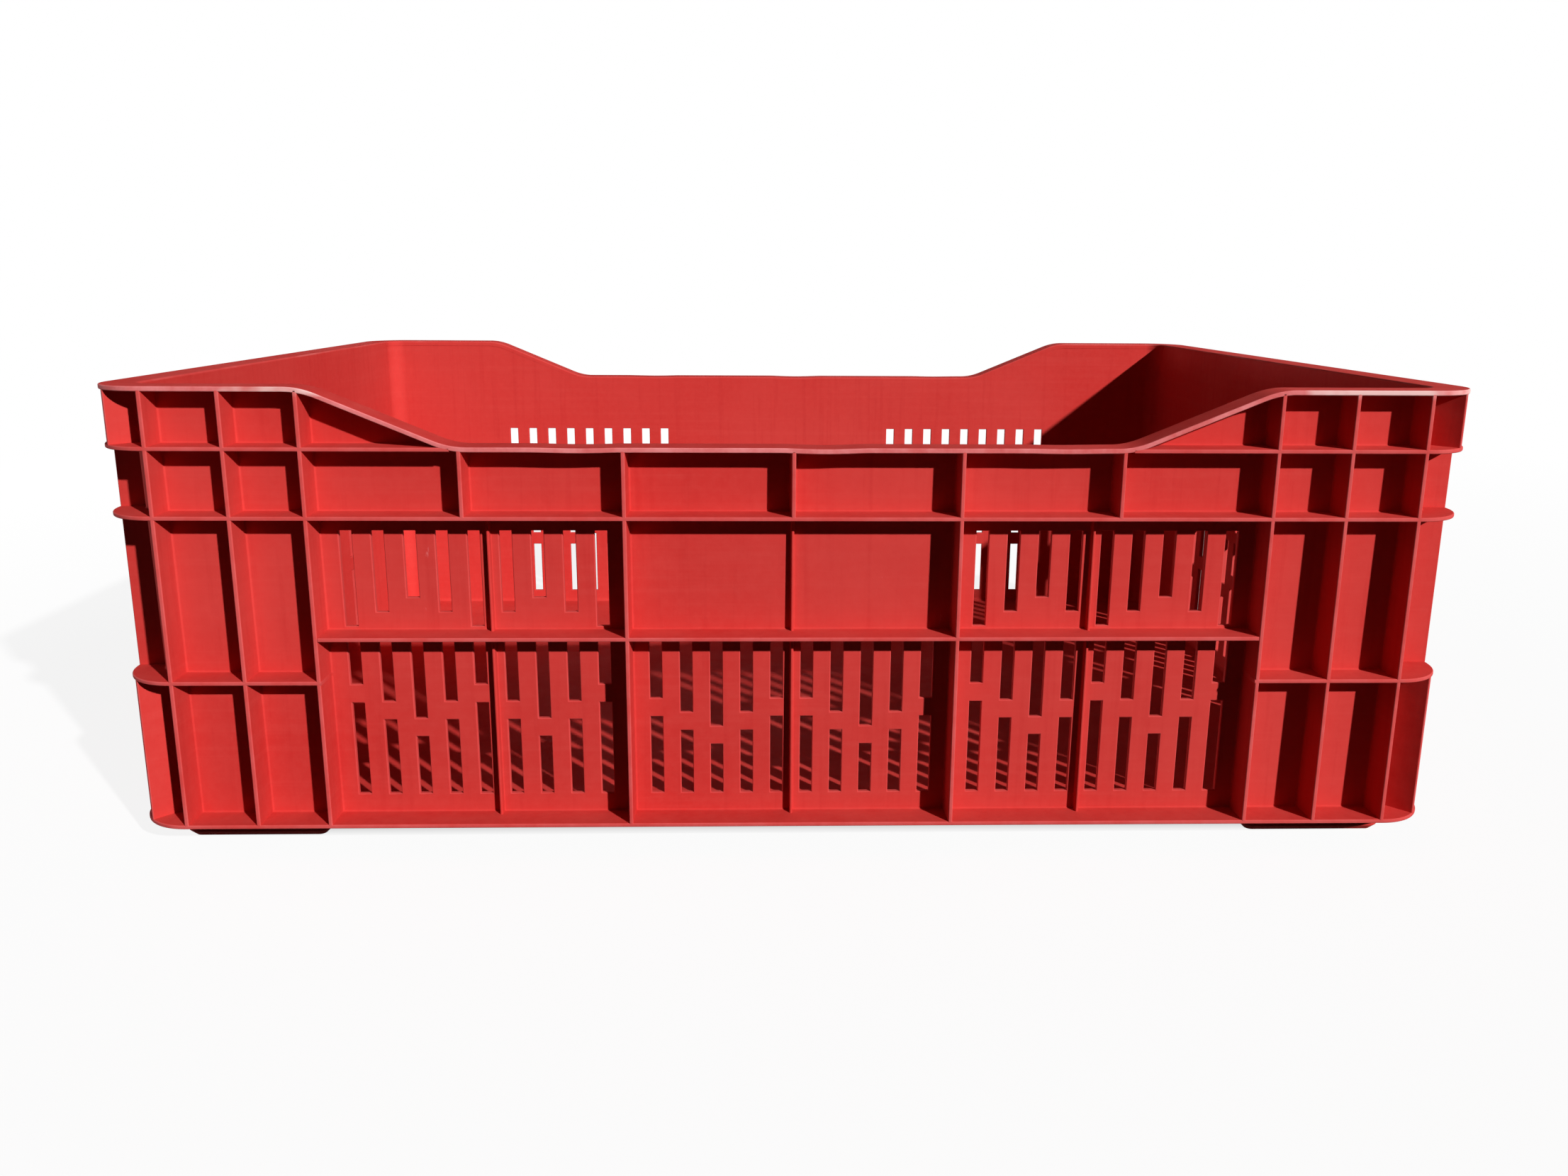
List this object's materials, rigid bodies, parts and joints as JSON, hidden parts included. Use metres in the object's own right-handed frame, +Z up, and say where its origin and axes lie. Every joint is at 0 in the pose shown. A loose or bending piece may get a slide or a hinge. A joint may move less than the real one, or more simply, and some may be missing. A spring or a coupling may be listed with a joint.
{
  "type": "fruit crate",
  "caption": "Open stackable fruit crate with slotted ribbed walls, dipped long sides, hand holes in the ends, a closed floor and corner feet that nest in the rim of a crate below.",
  "frame": {"origin": "on the ground under the centre of the crate, at the level of the feet's undersides", "axes": "+X along the length towards the right end, +Y across towards the back, +Z up"},
  "size_m": [0.6, 0.4, 0.212],
  "materials": {
    "crate_plastic": "satin moulded"
  },
  "bodies": {
    "root": {"back_base_flange": "crate_plastic", "back_belt": "crate_plastic", "back_half_ribs": "crate_plastic", "back_left_corner_hoops": "crate_plastic", "back_left_corner_rim": "crate_plastic", "back_left_corner_wall": "crate_plastic", "back_left_end_column_ribs": "crate_plastic", "back_left_foot": "crate_plastic", "back_left_shoulder": "crate_plastic", "back_left_side_column_ribs": "crate_plastic", "back_low_rim": "crate_plastic", "back_mid_rib": "crate_plastic", "back_posts": "crate_plastic", "back_right_corner_hoops": "crate_plastic", "back_right_corner_rim": "crate_plastic", "back_right_corner_wall": "crate_plastic", "back_right_end_column_ribs": "crate_plastic", "back_right_foot": "crate_plastic", "back_right_shoulder": "crate_plastic", "back_right_side_column_ribs": "crate_plastic", "back_stiffeners": "crate_plastic", "back_wall": "crate_plastic", "floor": "crate_plastic", "front_base_flange": "crate_plastic", "front_belt": "crate_plastic", "front_half_ribs": "crate_plastic", "front_left_corner_hoops": "crate_plastic", "front_left_corner_rim": "crate_plastic", "front_left_corner_wall": "crate_plastic", "front_left_end_column_ribs": "crate_plastic", "front_left_foot": "crate_plastic", "front_left_shoulder": "crate_plastic", "front_left_side_column_ribs": "crate_plastic", "front_low_rim": "crate_plastic", "front_mid_rib": "crate_plastic", "front_posts": "crate_plastic", "front_right_corner_hoops": "crate_plastic", "front_right_corner_rim": "crate_plastic", "front_right_corner_wall": "crate_plastic", "front_right_end_column_ribs": "crate_plastic", "front_right_foot": "crate_plastic", "front_right_shoulder": "crate_plastic", "front_right_side_column_ribs": "crate_plastic", "front_stiffeners": "crate_plastic", "front_wall": "crate_plastic", "left_end_base_flange": "crate_plastic", "left_end_belt": "crate_plastic", "left_end_mid_rib": "crate_plastic", "left_end_posts": "crate_plastic", "left_end_wall": "crate_plastic", "left_grip_rim": "crate_plastic", "left_grip_wall": "crate_plastic", "right_end_base_flange": "crate_plastic", "right_end_belt": "crate_plastic", "right_end_mid_rib": "crate_plastic", "right_end_posts": "crate_plastic", "right_end_wall": "crate_plastic", "right_grip_rim": "crate_plastic", "right_grip_wall": "crate_plastic"}
  },
  "joints": []
}
